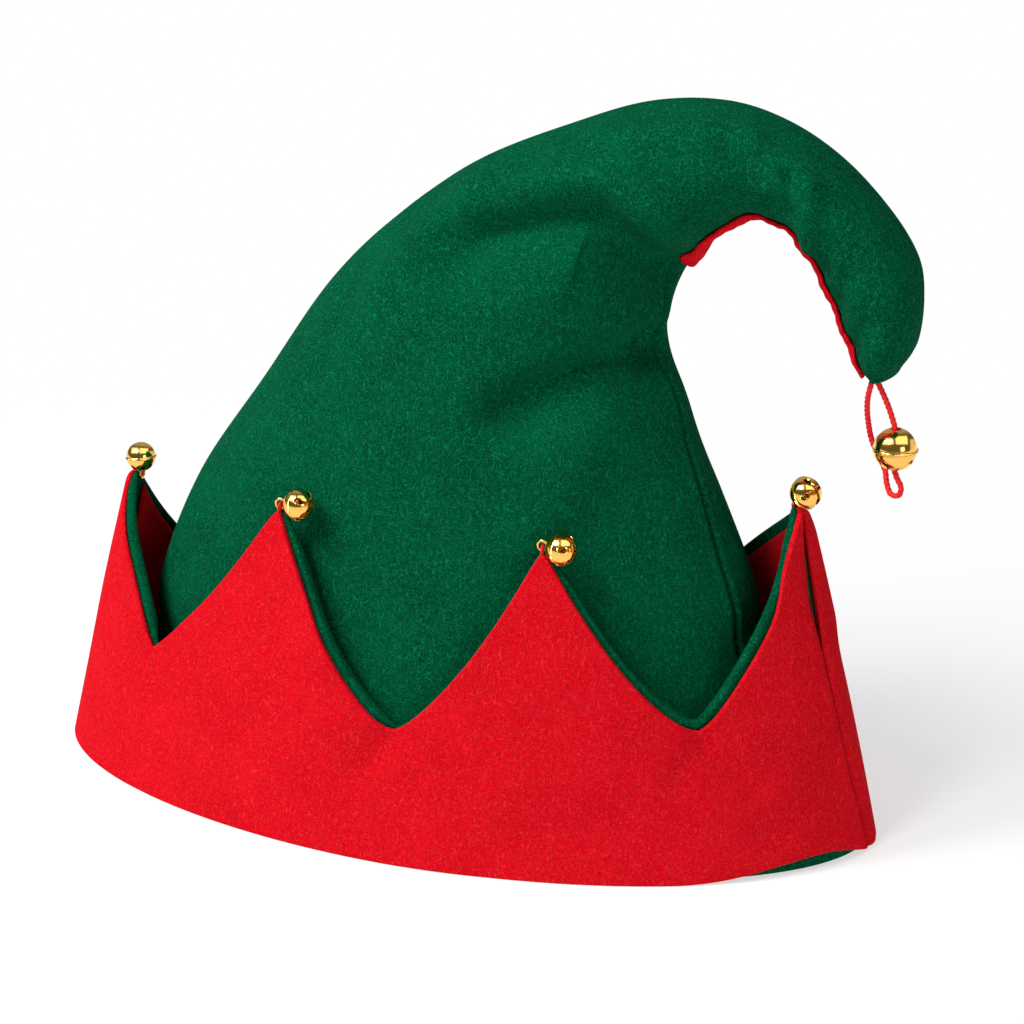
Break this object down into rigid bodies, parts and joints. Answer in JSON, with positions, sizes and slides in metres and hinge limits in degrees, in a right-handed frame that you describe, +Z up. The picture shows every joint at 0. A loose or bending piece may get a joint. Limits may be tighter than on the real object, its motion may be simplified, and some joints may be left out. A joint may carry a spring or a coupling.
{
  "type": "elf hat",
  "caption": "Felt elf hat: a hollow crown that curls over into a hooked peak, a pointed turned-up cuff, small bells on its points and a larger bell hanging from the peak.",
  "frame": {"origin": "on the surface that the hat stands on, under the middle of its felt and cuff bells", "axes": "+X to the right, where the peak hooks over; -Y to the front; +Z up"},
  "size_m": [0.2547, 0.1134, 0.2062],
  "materials": {
    "green_felt": "matt felt with short curved fibres",
    "red_felt": "matt felt with short curved fibres",
    "bell_brass": "polished gold-coloured plating",
    "red_cord": "thin round twisted cord",
    "ball_steel": "plain"
  },
  "bodies": {
    "root": {"crown_front": "green_felt", "crown_back": "green_felt", "under_gusset": "red_felt", "cuff_front": "red_felt", "cuff_back": "red_felt", "cuff_lining": "green_felt", "back_facing": "red_felt", "tip_bell_1": "bell_brass", "tip_bell_2": "bell_brass", "tip_bell_3": "bell_brass", "tip_bell_4": "bell_brass", "tip_bell_5": "bell_brass", "tip_bell_6": "bell_brass", "tip_bell_1_ball": "ball_steel", "tip_bell_2_ball": "ball_steel", "tip_bell_3_ball": "ball_steel", "tip_bell_4_ball": "ball_steel", "tip_bell_5_ball": "ball_steel", "tip_bell_6_ball": "ball_steel", "peak_bell": "bell_brass", "peak_bell_ball": "ball_steel", "hang_cord": "red_cord"}
  },
  "joints": []
}
